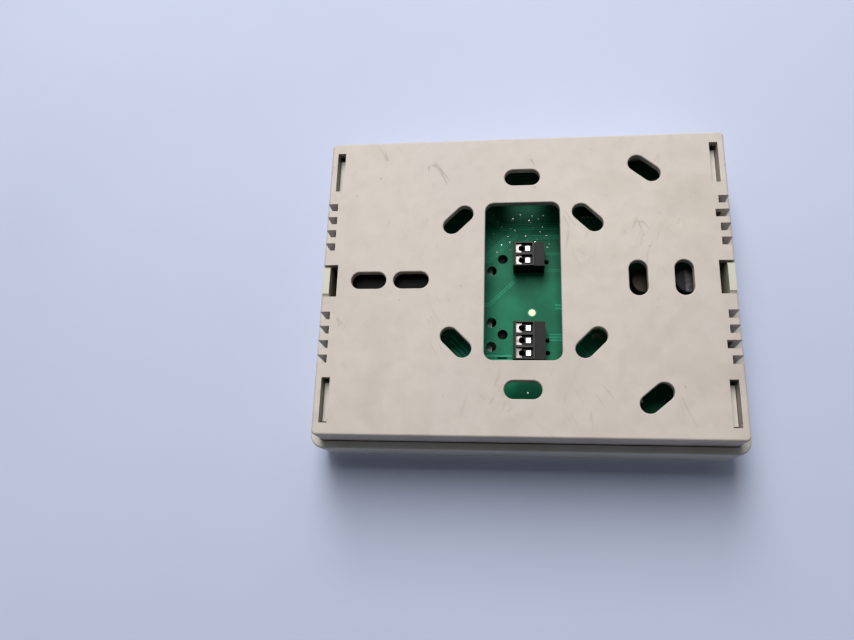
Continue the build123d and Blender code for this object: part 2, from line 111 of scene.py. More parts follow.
def mixed(nodes, links, factor, low, high, blend="MIX"):
    """A colour mix. Each of its three inputs is a socket or a plain value."""
    node = nodes.new("ShaderNodeMix")
    node.data_type = "RGBA"
    node.blend_type = blend
    for socket, value in ((node.inputs["Factor"], factor), (node.inputs["A"], low), (node.inputs["B"], high)):
        put(links, value, socket)
    return node.outputs["Result"]


def put(links, value, socket):
    """Links a socket's output, or sets a plain number or colour."""
    if isinstance(value, bpy.types.NodeSocket):
        links.new(value, socket)
    elif isinstance(value, tuple):
        socket.default_value = (*value, 1)
    else:
        socket.default_value = value


def maths(nodes, links, operation, first, second=0.0):
    node = nodes.new("ShaderNodeMath")
    node.operation = operation
    put(links, first, node.inputs[0])
    put(links, second, node.inputs[1])
    return node.outputs[0]


def bump(nodes, links, shader, height, distance, strength=1.0):
    """Bumps of the given depth in metres on a shader."""
    node = nodes.new("ShaderNodeBump")
    node.inputs["Distance"].default_value = distance
    node.inputs["Strength"].default_value = strength
    links.new(height, node.inputs["Height"])
    links.new(node.outputs["Normal"], shader.inputs["Normal"])


def hairlines(nodes, links, source, size, thickness, distortion):
    """Thin lines, white on black, where a noise crosses its middle value."""
    field = noise(nodes, links, source, size, detail=0.0, distortion=distortion)
    distance = maths(nodes, links, "ABSOLUTE", maths(nodes, links, "SUBTRACT", field, 0.5))
    return ramp(nodes, links, distance, ((0.0, 1.0), (thickness, 0.0)))


def moulded_plastic(name, colour, warm, shade, roughness, wear=1.0, texture=0.12 * MM):
    """Moulded plastic: a fine spark-eroded texture, uneven ageing, stains, rubs, scratches and specks."""
    material, nodes, links, shader = new_material(name)
    place = coordinates(nodes)
    ageing = ramp(nodes, links, noise(nodes, links, place, 55 * MM, 2.0), ((0.35, 0.0), (0.65, 1.0)))
    base = mixed(nodes, links, ageing, colour, warm)
    handling = ramp(nodes, links, noise(nodes, links, place, 14 * MM, 5.0, 0.6), ((0.45, 0.0), (0.75, 1.0)))
    base = mixed(nodes, links, maths(nodes, links, "MULTIPLY", handling, 0.22 * wear), base, shade)
    mottle = ramp(nodes, links, noise(nodes, links, place, 4.5 * MM, 4.0, 0.4), ((0.42, 0.0), (0.72, 1.0)))
    base = mixed(nodes, links, maths(nodes, links, "MULTIPLY", mottle, 0.085 * wear), base, shade)
    stretched = scaled(nodes, links, place, (0.25, 1.0, 1.0), math.radians(-20))
    rubbed = noise(nodes, links, stretched, 2.2 * MM, 6.0, 1.2)
    scuffs = ramp(nodes, links, rubbed, ((0.60, 0.0), (0.74, 1.0)))
    scuff_zone = ramp(nodes, links, noise(nodes, links, place, 20 * MM, 1.0), ((0.52, 0.0), (0.66, 1.0)))
    scuffs = maths(nodes, links, "MULTIPLY", scuffs, scuff_zone)
    base = mixed(nodes, links, maths(nodes, links, "MULTIPLY", scuffs, 0.30 * wear), base, shade)
    slanted = scaled(nodes, links, place, (0.06, 1.0, 1.0), math.radians(28))
    lines = hairlines(nodes, links, slanted, 5 * MM, 0.006, 0.0)
    line_zone = ramp(nodes, links, noise(nodes, links, place, 9 * MM, 2.0), ((0.58, 0.0), (0.64, 1.0)))
    lines = maths(nodes, links, "MULTIPLY", lines, line_zone)
    base = mixed(nodes, links, maths(nodes, links, "MULTIPLY", lines, 0.5 * wear), base, shade)
    specks = ramp(nodes, links, noise(nodes, links, place, 1.3 * MM, 1.0), ((0.75, 0.0), (0.79, 1.0)))
    base = mixed(nodes, links, maths(nodes, links, "MULTIPLY", specks, 0.45 * wear), base, shade)
    links.new(base, shader.inputs["Base Color"])
    gloss = ramp(nodes, links, handling, ((0.0, roughness + 0.06), (1.0, roughness - 0.08)))
    links.new(gloss, shader.inputs["Roughness"])
    grain = noise(nodes, links, place, texture * 2, 2.0)
    grain = maths(nodes, links, "SUBTRACT", grain, maths(nodes, links, "MULTIPLY", lines, 0.6))
    bump(nodes, links, shader, grain, 0.012 * MM, 0.5)
    return material


def plain_plastic(name, colour, roughness, variation=0.15, grain_size=0.25 * MM, depth=0.006 * MM,
                  specular=0.5):
    """Small moulded parts: slight shade variation, dust and a fine grain."""
    material, nodes, links, shader = new_material(name)
    shader.inputs["Specular IOR Level"].default_value = specular
    place = coordinates(nodes)
    shade = tuple(c * (1 - variation) for c in colour)
    tone = ramp(nodes, links, noise(nodes, links, place, 3 * MM, 4.0), ((0.3, 0.0), (0.7, 1.0)))
    dusty = tuple(min(1.0, c * (1 + variation) + 0.012) for c in colour)
    base = mixed(nodes, links, tone, shade, colour)
    dust = ramp(nodes, links, noise(nodes, links, place, 0.5 * MM, 4.0), ((0.58, 0.0), (0.75, 1.0)))
    links.new(mixed(nodes, links, dust, base, dusty), shader.inputs["Base Color"])
    gloss = ramp(nodes, links, dust, ((0.0, roughness), (1.0, min(1.0, roughness + 0.2))))
    links.new(gloss, shader.inputs["Roughness"])
    bump(nodes, links, shader, noise(nodes, links, place, grain_size, 2.0), depth, 0.5)
    return material


def worn_metal(name, colour, roughness, brushing=(1.0, 1.0, 12.0), tarnish=(0.25, 0.2, 0.15), amount=0.3):
    """Metal with brushing along one axis and darker tarnish in blotches."""
    material, nodes, links, shader = new_material(name, metallic=1.0)
    place = coordinates(nodes)
    blotches = ramp(nodes, links, noise(nodes, links, place, 1.5 * MM, 4.0), ((0.45, 0.0), (0.8, 1.0)))
    links.new(mixed(nodes, links, maths(nodes, links, "MULTIPLY", blotches, amount), colour, tarnish),
              shader.inputs["Base Color"])
    gloss = ramp(nodes, links, blotches, ((0.0, roughness), (1.0, min(1.0, roughness + 0.25))))
    links.new(gloss, shader.inputs["Roughness"])
    grain = noise(nodes, links, scaled(nodes, links, place, brushing), 1.2 * MM, 3.0)
    bump(nodes, links, shader, grain, 0.01 * MM, 0.3)
    return material


def solder_mask(name, over_copper):
    """Glossy green lacquer: lighter over copper, darker over bare laminate, with a faint weave below it."""
    material, nodes, links, shader = new_material(name)
    shader.inputs["Specular IOR Level"].default_value = 0.12
    place = coordinates(nodes)
    light, dark = ((0.050, 0.400, 0.250), (0.038, 0.330, 0.200))
    if not over_copper:
        light, dark = ((0.020, 0.235, 0.130), (0.012, 0.165, 0.090))
    patches = ramp(nodes, links, noise(nodes, links, place, 9 * MM, 3.0), ((0.4, 0.0), (0.6, 1.0)))
    base = mixed(nodes, links, patches, dark, light)
    weave = nodes.new("ShaderNodeTexChecker")
    weave.inputs["Scale"].default_value = 1.0 / (0.45 * MM)
    links.new(place, weave.inputs["Vector"])
    base = mixed(nodes, links, maths(nodes, links, "MULTIPLY", weave.outputs["Fac"], 0.10), base, dark)
    flux = ramp(nodes, links, noise(nodes, links, place, 2.5 * MM, 5.0, 0.5), ((0.62, 0.0), (0.8, 1.0)))
    base = mixed(nodes, links, maths(nodes, links, "MULTIPLY", flux, 0.25), base, (0.10, 0.24, 0.17))
    links.new(base, shader.inputs["Base Color"])
    links.new(ramp(nodes, links, flux, ((0.0, 0.42), (1.0, 0.6))), shader.inputs["Roughness"])
    bump(nodes, links, shader, noise(nodes, links, place, 0.8 * MM, 2.0), 0.02 * MM, 0.35)
    return material


def clear_plastic(name):
    """Polycarbonate window with fine wipe marks."""
    material, nodes, links, shader = new_material(name, roughness=0.04)
    shader.inputs["Transmission Weight"].default_value = 1.0
    shader.inputs["IOR"].default_value = 1.05
    shader.inputs["Base Color"].default_value = (0.97, 0.98, 0.97, 1)
    place = scaled(nodes, links, coordinates(nodes), (1.0, 1.0, 0.2))
    wipes = ramp(nodes, links, noise(nodes, links, place, 1.5 * MM, 5.0, 0.8), ((0.5, 0.03), (0.8, 0.16)))
    links.new(wipes, shader.inputs["Roughness"])
    return material


def floor_material():
    """Pale sheet paper, seen through from its underside so that the front can be looked at from below."""
    material, nodes, links, shader = new_material("floor_paper", roughness=0.75)
    place = coordinates(nodes)
    tone = ramp(nodes, links, noise(nodes, links, place, 120 * MM, 4.0), ((0.3, 0.0), (0.7, 1.0)))
    paper = mixed(nodes, links, tone, (0.535, 0.580, 0.735), (0.570, 0.615, 0.765))
    links.new(paper, shader.inputs["Base Color"])
    bump(nodes, links, shader, noise(nodes, links, place, 40 * MM, 5.0), 0.6 * MM, 0.35)
    geometry = nodes.new("ShaderNodeNewGeometry")
    clear = nodes.new("ShaderNodeBsdfTransparent")
    either = nodes.new("ShaderNodeMixShader")
    links.new(geometry.outputs["Backfacing"], either.inputs["Fac"])
    links.new(shader.outputs["BSDF"], either.inputs[1])
    links.new(clear.outputs["BSDF"], either.inputs[2])
    links.new(either.outputs["Shader"], nodes["Material Output"].inputs["Surface"])
    return material


MATERIALS = {
    "plate": moulded_plastic("plate_plastic", (0.585, 0.525, 0.485), (0.620, 0.560, 0.505),
                             (0.33, 0.28, 0.23), 0.50, 1.5),
    "cover": moulded_plastic("cover_plastic", (0.61, 0.59, 0.55), (0.64, 0.62, 0.56),
                             (0.40, 0.36, 0.31), 0.48, 0.6),
    "tongue": moulded_plastic("tongue_plastic", (0.60, 0.59, 0.50), (0.63, 0.61, 0.51),
                              (0.38, 0.35, 0.28), 0.48, 0.6),
    "window": clear_plastic("clear_window"),
    "lcd": plain_plastic("lcd_glass", (0.23, 0.27, 0.21), 0.12, 0.06, 2 * MM, 0.001 * MM),
    "segments": plain_plastic("lcd_segments", (0.17, 0.20, 0.155), 0.12, 0.06, 2 * MM, 0.001 * MM),
    "white": plain_plastic("white_plastic", (0.72, 0.72, 0.69), 0.5),
    "rubber": plain_plastic("grey_rubber", (0.26, 0.26, 0.27), 0.75),
    "grey": plain_plastic("dark_grey_plastic", (0.018, 0.018, 0.019), 0.6, specular=0.2),
    "strips": plain_plastic("contact_rubber", (0.014, 0.014, 0.015), 0.7, specular=0.2),
    "board": solder_mask("green_board", over_copper=False),
    "traces": solder_mask("masked_copper", over_copper=True),
    "black": plain_plastic("black_plastic", (0.010, 0.010, 0.011), 0.5, 0.3, specular=0.3),
    # A paler grey for the edges round the terminal recesses, lighter than the blocks' black.
    "rim": plain_plastic("pale_recess_edge", (0.11, 0.105, 0.10), 0.5, 0.3, specular=0.3),
    "contact": worn_metal("terminal_contact", (0.36, 0.34, 0.34), 0.45),
    "tinned": worn_metal("tinned_metal", (0.70, 0.69, 0.66), 0.30),
    "bright": worn_metal("bright_metal", (0.97, 0.97, 0.96), 0.5, amount=0.05),
    "solder": worn_metal("solder", (0.78, 0.77, 0.74), 0.25, amount=0.2),
    "gold_pad": plain_plastic("bare_test_pad", (0.97, 0.96, 0.66), 0.35, 0.05),
    "zinc": worn_metal("zinc_steel", (0.62, 0.61, 0.60), 0.35, (8.0, 1.0, 8.0)),
    "can": worn_metal("aluminium_can", (0.10, 0.10, 0.105), 0.55, (12.0, 1.0, 1.0), (0.04, 0.04, 0.04), 0.4),
    "ferrite": plain_plastic("brown_ferrite", (0.060, 0.036, 0.022), 0.55, 0.3),
    "copper_wire": worn_metal("lacquered_copper_wire", (0.55, 0.25, 0.10), 0.3, (1.0, 40.0, 1.0),
                              (0.2, 0.07, 0.03)),
    "chip": plain_plastic("chip_plastic", (0.013, 0.013, 0.014), 0.5, 0.3, 0.12 * MM, 0.008 * MM),
    "crystal": worn_metal("nickel_can", (0.66, 0.64, 0.60), 0.25, (10.0, 1.0, 1.0)),
    "resin": plain_plastic("sensor_resin", (0.016, 0.016, 0.018), 0.25, 0.3),
    "relay": plain_plastic("relay_case", (0.008, 0.008, 0.009), 0.6, 0.3, specular=0.2),
    "button": plain_plastic("button_plastic", (0.30, 0.30, 0.29), 0.5, 0.12),
    "print": plain_plastic("white_print", (0.75, 0.75, 0.73), 0.5, 0.05),
    "ceramic": plain_plastic("tan_ceramic", (0.36, 0.25, 0.15), 0.4, 0.15),
}


# ---- CAD pieces keep their shape and get their materials ----

NODE_MATERIALS = {
    "rear_plate": "plate", "front_cover": "cover",
    "latch_tongue_top": "tongue", "latch_tongue_bottom": "tongue",
    "display_window": "window", "lcd_panel": "lcd", "lcd_frame": "grey",
    "lcd_contact_strips": "strips", "lcd_backlight": "white",
    "circuit_board": "board", "key_mat": "rubber", "board_screws": "zinc",
    "terminal_block_2_pole": "black", "terminal_block_3_pole": "black",
    "terminal_contacts_2_pole": "contact", "terminal_contacts_3_pole": "contact",
    "capacitor": "can", "choke": "ferrite", "relay_1": "relay", "relay_2": "relay",
    "processor": "chip", "processor_leads": "solder", "memory_chip": "chip",
    "crystal": "crystal", "rectifier": "chip",
    "temperature_sensor": "resin", "temperature_sensor_leads": "solder",
}
for node_name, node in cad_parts.items():
    key = NODE_MATERIALS.get(node_name)
    if node_name.startswith("button_"):
        key = "button"
    elif node_name.startswith("wire_clamp_"):
        key = "bright"
    for material_slot in node.material_slots:
        material_slot.material = MATERIALS[key]


# ---- small tools for pieces ----

def add_piece(name, builder, material, body, smooth_angle=35):
    """Makes a mesh object from a filled bmesh, gives it its material and lets it ride on its body."""
    mesh = bpy.data.meshes.new(name)
    bmesh.ops.recalc_face_normals(builder, faces=builder.faces)
    builder.to_mesh(mesh)
    builder.free()
    piece = bpy.data.objects.new(name, mesh)
    bpy.context.scene.collection.objects.link(piece)
    piece.data.materials.append(MATERIALS[material])
    mesh.shade_smooth()
    mesh.set_sharp_from_angle(angle=math.radians(smooth_angle))
    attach(piece, body)
    return piece


def add_prism(builder, outline, y_low, y_high):
    """A closed outline of (x, z) points, drawn out between two heights over the board."""
    low = [builder.verts.new((x, y_low, z)) for x, z in outline]
    high = [builder.verts.new((x, y_high, z)) for x, z in outline]
    builder.faces.new(low)
    builder.faces.new(high)
    for i, start in enumerate(low):
        j = (i + 1) % len(low)
        builder.faces.new((start, low[j], high[j], high[i]))


def add_turned(builder, x, z, profile, segments=20):
    """A form turned about an axis along Y. Its profile is (radius, y) points, and radius 0 is on the axis."""
    turn = 2 * math.pi / segments
    rings = []
    for radius, y in profile:
        if radius == 0:
            rings.append([builder.verts.new((x, y, z))])
        else:
            round_points = [(x + radius * math.cos(i * turn), y, z + radius * math.sin(i * turn))
                            for i in range(segments)]
            rings.append([builder.verts.new(point) for point in round_points])
    for first, second in zip(rings, rings[1:]):
        for i in range(segments):
            j = (i + 1) % segments
            corners = [first[i % len(first)], first[j % len(first)],
                       second[j % len(second)], second[i % len(second)]]
            builder.faces.new(list(dict.fromkeys(corners)))


def offset_line(points, distance):
    """The line moved to its left by a distance, with its stretches kept parallel."""
    sharpest = 0.4
    moved = []
    for i, place in enumerate(points):
        before = (place - points[i - 1]).normalized() if i else None
        after = (points[i + 1] - place).normalized() if i + 1 < len(points) else None
        along = (before + after).normalized() if before and after else (before or after)
        side = Vector((-along.y, along.x))
        stretch = after or before
        straight = Vector((-stretch.y, stretch.x))
        moved.append(place + side * distance / max(sharpest, side.dot(straight)))
    return moved


def add_track(builder, points, width, y_low, y_high):
    """A flat strip of even width along a line of (x, z) vectors, with mitred bends."""
    left, right = offset_line(points, width / 2), offset_line(points, -width / 2)
    add_prism(builder, [tuple(p) for p in left + right[::-1]], y_low, y_high)


def rounded_rectangle(x, z, width, height, radius, corner_steps=5):
    """Points of a rounded rectangle about (x, z), anticlockwise."""
    points = []
    for quarter, (side_x, side_z) in enumerate(((1, 1), (-1, 1), (-1, -1), (1, -1))):
        centre_x, centre_z = x + side_x * (width / 2 - radius), z + side_z * (height / 2 - radius)
        for i in range(corner_steps + 1):
            angle = math.pi / 2 * (quarter + i / corner_steps)
            points.append((centre_x + radius * math.cos(angle), centre_z + radius * math.sin(angle)))
    return points


def add_ring(builder, outer, inner, y_low, y_high):
    """A frame between two outlines that have the same number of points."""
    loops = [[builder.verts.new((x, y, z)) for x, z in outline]
             for outline, y in ((outer, y_low), (outer, y_high), (inner, y_high), (inner, y_low))]
    for first, second in zip(loops, loops[1:] + loops[:1]):
        for i in range(len(first)):
            j = (i + 1) % len(first)
            builder.faces.new((first[i], first[j], second[j], second[i]))


def middle(node):
    """The middle of a node's box."""
    low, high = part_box(node)
    return (Vector(low) + Vector(high)) / 2


# ---- the board's copper, solder and small parts ----

BOARD_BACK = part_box("circuit_board")[1][1]
MASK_RISE = 0.035 * MM
PAD_RISE = 0.05 * MM
PRINT_RISE = 0.02 * MM


def track_bundle(builder, start, moves, count, pitch, width=0.25):
    """Tracks side by side in millimetres: each move is (dx, dz), and the bundle spreads to its left."""
    place = Vector(start)
    points = [place]
    for move in moves:
        place = place + Vector(move)
        points.append(place)
    for number in range(count):
        line = [point * MM for point in offset_line(points, number * pitch)]
        add_track(builder, line, width * MM, BOARD_BACK, BOARD_BACK + MASK_RISE)


def make_tracks():
    """Copper tracks under the lacquer, bundle by bundle."""
    builder = bmesh.new()
    track_bundle(builder, (-17.6, 1.0), ((8.2, 8.2), (0, 9), (-6, 6)), 7, 0.45, 0.18)
    track_bundle(builder, (-3.4, 2.2), ((7.0, 7.0), (0, 6), (5, 5), (14, 0)), 2, 0.6)
    track_bundle(builder, (-12.1, -6.4), ((0, -7), (-5, -5), (-6, 0)), 2, 0.5, 0.18)
    track_bundle(builder, (-7.1, -6.4), ((0, -6), (-3, -3), (0, -5)), 2, 0.5, 0.18)
    track_bundle(builder, (-19.5, -10.0), ((0, 16), (-4, 4), (0, 10)), 4, 0.55)
    track_bundle(builder, (-16.5, -12.5), ((0, 9.5), (3, 3)), 3, 0.55)
    track_bundle(builder, (12.0, -7.2), ((0, -5), (6, -6), (8, 0)), 3, 0.8, 0.4)
    track_bundle(builder, (3.5, -9.0), ((0, -6), (-5, -5), (0, -8)), 2, 1.0, 0.5)
    track_bundle(builder, (20.5, 3.0), ((0, 12), (-6, 6), (0, 4)), 3, 1.2, 0.7)
    track_bundle(builder, (-22.0, 14.0), ((0, 12), (6, 6), (6, 0)), 4, 0.5)
    track_bundle(builder, (-34.5, -12.0), ((0, 30), (4, 4), (0, 8)), 5, 0.6)
    track_bundle(builder, (-21.5, -26.0), ((8, 0), (5, -5), (0, -6)), 4, 0.55)
    track_bundle(builder, (8.0, -35.0), ((10, 0), (5, 5), (0, 12)), 3, 1.1, 0.6)
    track_bundle(builder, (32.5, -30.0), ((0, 42), (-5, 5), (0, 6)), 2, 1.4, 0.8)
    add_piece("board_tracks", builder, "traces", "front_unit")


def make_vias():
    """Small tinned rings, close together above the terminals; a third of them carry a black disc in the
    middle, painted shade for the dark inside a bore.
    """
    random.seed(11)
    rings, painted_bore_shades = bmesh.new(), bmesh.new()
    spots = [(-22.9, 2.7, 0.26), (-22.3, -2.0, 0.22), (28.4, -1.3, 0.25)]
    columns, column_pitch, first_x = 7, 1.7, -24.5
    rows, row_pitch, first_z = 5, 3.4, -8.0
    for column in range(columns):
        for row in range(rows):
            x = first_x + column_pitch * (column + random.random())
            z = first_z + row_pitch * (row + random.random())
            spots.append((x, z, random.uniform(0.10, 0.18)))
    for _ in range(60):
        spots.append((random.uniform(-36, 36), random.choice((-1, 1)) * random.uniform(13, 45), 0.16))
    top = BOARD_BACK + PAD_RISE
    lip, shade_film = 0.02 * MM, 0.006 * MM
    for number, (x, z, size) in enumerate(spots):
        radius = size * MM
        shade_radius = radius * 0.33
        profile = ((0, BOARD_BACK), (radius * 1.25, BOARD_BACK), (radius * 1.1, top),
                   (radius * 0.5, top + lip), (radius * 0.35, top), (0, top))
        add_turned(rings, x * MM, z * MM, profile, 12)
        # Every third via gets a thin black disc on its top: painted shade standing in for the darkness down
        # its bore.
        if number % 3 == 0:
            bore_shade_disc = ((0, top), (shade_radius, top), (shade_radius, top + shade_film), (0, top + shade_film))
            add_turned(painted_bore_shades, x * MM, z * MM, bore_shade_disc, 10)
    add_piece("board_vias", rings, "solder", "front_unit")
    add_piece("board_via_painted_bore_shade", painted_bore_shades, "black", "front_unit")


def make_test_pad():
    """A bare round pad with its ring of copper under the lacquer."""
    pad, halo = bmesh.new(), bmesh.new()
    x, z = 5.7 * MM, -2.6 * MM
    radius, halo_radius = 1.0 * MM, 1.3 * MM
    edge, rim = BOARD_BACK + 0.06 * MM, BOARD_BACK + 0.04 * MM
    bevel = 0.02 * MM
    pad_profile = ((0, BOARD_BACK), (radius, BOARD_BACK), (radius - bevel, edge),
                   (0.6 * radius, edge + 0.02 * MM), (0, edge + 0.03 * MM))
    halo_profile = ((radius, BOARD_BACK), (radius, rim), (halo_radius - bevel, rim),
                    (halo_radius, BOARD_BACK))
    add_turned(pad, x, z, pad_profile, 40)
    add_turned(halo, x, z, halo_profile, 40)
    add_piece("board_test_pad", pad, "gold_pad", "front_unit")
    add_piece("board_test_pad_ring", halo, "traces", "front_unit")


def make_hole_rims():
    """Tinned collars round the four screw holes."""
    builder = bmesh.new()
    screw_head_radius, hole_radius, collar_radius = 2.0 * MM, 1.5 * MM, 3.0 * MM
    foot_radius = collar_radius + 0.05 * MM
    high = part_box("board_screws")[1]
    reach_x, reach_z = high[0] - screw_head_radius, high[2] - screw_head_radius
    top = BOARD_BACK + PAD_RISE
    profile = ((hole_radius, BOARD_BACK), (hole_radius, top), (collar_radius, top), (foot_radius, BOARD_BACK))
    for side in (-1, 1):
        for end in (-1, 1):
            add_turned(builder, side * reach_x, end * reach_z, profile, 36)
    add_piece("board_screw_pads", builder, "solder", "front_unit")


def add_chip_part(bodies, ends, fillets, x, z, upright):
    """One chip part: its body, a metal cap on each end, and a solder pad under each cap."""
    length, width, tall = 2.0 * MM, 1.25 * MM, 0.55 * MM
    low = BOARD_BACK + 0.06 * MM
    cap_length, cap_overlap, cap_film = 0.19 * length, 0.04 * MM, 0.02 * MM
    pads_length, pad_width = length + 0.7 * MM, width + 0.2 * MM
    pad_length = 0.3 * pads_length

    def oriented(along, across):
        return (across, along) if upright else (along, across)

    body = oriented(length - 2 * cap_length, width)
    add_prism(bodies, rounded_rectangle(x, z, *body, 0.08 * MM, 2), low, low + tall)
    for end in (-1, 1):
        shift_x, shift_z = oriented(end * (length - cap_length) / 2, 0)
        size_x, size_z = oriented(cap_length, width)
        cap = rounded_rectangle(x + shift_x, z + shift_z, size_x + cap_overlap, size_z, 0.06 * MM, 2)
        add_prism(ends, cap, low - cap_film, low + tall + cap_film)
    for end in (-1, 1):
        shift_x, shift_z = oriented(end * (pads_length - pad_length) / 2, 0)
        pad = rounded_rectangle(x + shift_x, z + shift_z, *oriented(pad_length, pad_width), 0.15 * MM, 3)
        add_prism(fillets, pad, BOARD_BACK, BOARD_BACK + PAD_RISE)


def make_small_parts():
    """Rows of chip parts: the first one's (x, z), the count, the step, and whether they stand along Z."""
    bodies, ends, fillets = bmesh.new(), bmesh.new(), bmesh.new()
    rows = (((-18, 30), 4, (0, 3.2), False), ((-25, 38), 3, (4, 0), True), ((14, -24), 4, (0, -3.2), False),
            ((22, -30), 3, (4, 0), True), ((-16, -30), 4, (0, -3.0), False), ((21, 21.5), 3, (4.2, 0), True),
            ((-33, -33), 3, (0, -3.4), False), ((8, -20), 2, (4.5, 0), True), ((27, 24), 4, (0, 3.4), False))
    for (x, z), count, (step_x, step_z), upright in rows:
        for i in range(count):
            add_chip_part(bodies, ends, fillets, (x + i * step_x) * MM, (z + i * step_z) * MM, upright)
    add_piece("chip_part_bodies", bodies, "ceramic", "front_unit")
    add_piece("chip_part_ends", ends, "tinned", "front_unit")
    add_piece("chip_part_pads", fillets, "solder", "front_unit")


def make_choke_winding():
    """Turns of lacquered wire in the choke's waist."""
    low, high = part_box("choke")
    centre = middle("choke")
    flange, first_turn, pitch, wire = 0.62 * MM, 1.25 * MM, 0.32 * MM, 0.17 * MM
    turns, sides = 7, 8
    radius = (high[0] - low[0]) / 2 - flange
    builder = bmesh.new()
    for turn in range(turns):
        y = low[1] + first_turn + turn * pitch
        angles = [2 * math.pi * i / sides for i in range(sides + 1)]
        profile = [(radius + wire * math.cos(angle), y + wire * math.sin(angle)) for angle in angles]
        add_turned(builder, centre.x, centre.z, profile, 32)
    bmesh.ops.remove_doubles(builder, verts=builder.verts, dist=1e-7)
    add_piece("choke_winding", builder, "copper_wire", "front_unit")


def make_capacitor_mark():
    """The printed half-moon that marks the can's negative side."""
    builder = bmesh.new()
    low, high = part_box("capacitor")
    centre, radius = middle("capacitor"), (high[0] - low[0]) / 2 - 0.5 * MM
    steps, start, sweep = 24, 0.12 * math.pi, 0.76 * math.pi
    outline = []
    for step in range(steps + 1):
        angle = start + sweep * step / steps
        outline.append((centre.x - radius * math.cos(angle), centre.z + radius * math.sin(angle)))
    add_prism(builder, outline, high[1], high[1] + PRINT_RISE)
    add_piece("capacitor_mark", builder, "black", "front_unit")


def make_terminal_rims():
    """Paler grey edges round each recess of the terminal blocks."""
    builder = bmesh.new()
    divider, rim_width, rim_rise = 0.6 * MM, 0.2 * MM, 0.03 * MM
    for poles in (2, 3):
        low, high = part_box(f"terminal_block_{poles}_pole")
        contact_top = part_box(f"terminal_contacts_{poles}_pole")[1][2]
        pitch = (high[0] - low[0]) / poles
        z_low, z_high = contact_top - 4.62 * MM, contact_top + 0.06 * MM
        z, width, height = (z_low + z_high) / 2, pitch - divider, z_high - z_low
        for i in range(poles):
            x = low[0] + (i + 0.5) * pitch
            inner = rounded_rectangle(x, z, width, height, 0.08 * MM, 2)
            outer = rounded_rectangle(x, z, width + 2 * rim_width, height + 2 * rim_width, 0.2 * MM, 2)
            add_ring(builder, outer, inner, high[1], high[1] + rim_rise)
    add_piece("terminal_rims", builder, "rim", "front_unit")


# ---- the front: display border, digit segments and key symbols ----

def make_display_details():
    """A printed border behind the window's edge, and the faint idle segments of three digits and a point."""
    glass_low, glass_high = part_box("lcd_panel")
    centre = middle("lcd_panel")
    width, height = glass_high[0] - glass_low[0], glass_high[2] - glass_low[2]
    border = bmesh.new()
    y_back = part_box("display_window")[1][1] + 0.02 * MM
    outer = rounded_rectangle(centre.x, centre.z, width - 1.0 * MM, height - 2.0 * MM, 1.5 * MM)
    inner = rounded_rectangle(centre.x, centre.z, width - 10.0 * MM, height - 10.0 * MM, 1.0 * MM)
    add_ring(border, outer, inner, y_back, y_back + 0.06 * MM)
    add_piece("window_printed_border", border, "button", "front_unit")

    segments = bmesh.new()
    front = glass_low[1]
    for x in (-14.0 * MM, -3.0 * MM, 10.0 * MM):
        for part in range(7):
            add_segment(segments, centre.x + x, centre.z, part, front)
    point_radius = 0.6 * MM
    point = ((0, front), (point_radius, front), (point_radius, front - PRINT_RISE), (0, front - PRINT_RISE))
    add_turned(segments, centre.x + 4.2 * MM, centre.z - 6.0 * MM, point, 16)
    add_piece("lcd_idle_segments", segments, "segments", "front_unit")


def add_segment(builder, x, z, part, front):
    """One of the seven bars of a leaning digit: 0 to 2 lie flat from the bottom up, 3 to 6 stand."""
    bar, thick, lean = 6.0 * MM, 1.1 * MM, 0.12
    if part < 3:
        centre_x, centre_z, flat = x, z + (part - 1) * bar, True
    else:
        side, level = (part - 3) % 2 * 2 - 1, (part - 3) // 2 * 2 - 1
        centre_x, centre_z, flat = x + side * bar / 2, z + level * bar / 2, False
    reach, half = bar / 2 - 0.25 * MM, thick / 2
    corners = [(-reach, 0), (-reach + half, half), (reach - half, half), (reach, 0), (reach - half, -half),
               (-reach + half, -half)]
    outline = []
    for along, across in corners:
        point_x, point_z = (along, across) if flat else (across, along)
        point_z += centre_z
        outline.append((centre_x + point_x + (point_z - z) * lean, point_z))
    add_prism(builder, outline, front - PRINT_RISE, front)


def dial_mark(builder, x, z, front):
    """A ring with a pointer that stands up from its middle."""
    outer = rounded_rectangle(x, z, 3.6 * MM, 3.6 * MM, 1.79 * MM, 8)
    inner = rounded_rectangle(x, z, 2.8 * MM, 2.8 * MM, 1.39 * MM, 8)
    add_ring(builder, outer, inner, front - PRINT_RISE, front)
    half, length = 0.2 * MM, 1.2 * MM
    pointer = [(x - half, z), (x + half, z), (x + half, z + length), (x - half, z + length)]
    add_prism(builder, pointer, front - PRINT_RISE, front)


def fan_mark(builder, x, z, front):
    """Four blades, each an ellipse set off from the middle."""
    for blade in range(4):
        turn = Matrix.Rotation(blade * math.pi / 2, 2)
        outline = []
        for step in range(12):
            angle = 2 * math.pi * step / 12
            along = 1.15 * MM + 0.85 * MM * math.cos(angle)
            across = 0.25 * MM + 0.45 * MM * math.sin(angle)
            point = turn @ Vector((along, across))
            outline.append((x + point.x, z + point.y))
        add_prism(builder, outline, front - PRINT_RISE, front)


def arrow_mark(builder, x, z, front, way):
    """A triangle that points up for way 1 and down for way -1."""
    size = 1.7 * MM
    foot = z - way * size * 0.6
    outline = [(x - size, foot), (x + size, foot), (x, z + way * size * 0.9)]
    add_prism(builder, outline, front - PRINT_RISE, front)


def make_key_mark(key, draw, *options):
    """Each key's printed mark is a piece of its own, because it rides on its key."""
    builder = bmesh.new()
    centre = middle(key)
    draw(builder, centre.x, centre.z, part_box(key)[0][1], *options)
    add_piece(key + "_mark", builder, "print", key)


make_tracks()
make_vias()
make_test_pad()
make_hole_rims()
make_small_parts()
make_choke_winding()
make_capacitor_mark()
make_terminal_rims()
make_display_details()

make_key_mark("button_mode", dial_mark)
make_key_mark("button_fan", fan_mark)
make_key_mark("button_down", arrow_mark, -1)
make_key_mark("button_up", arrow_mark, 1)


# ---- stage, light and camera ----

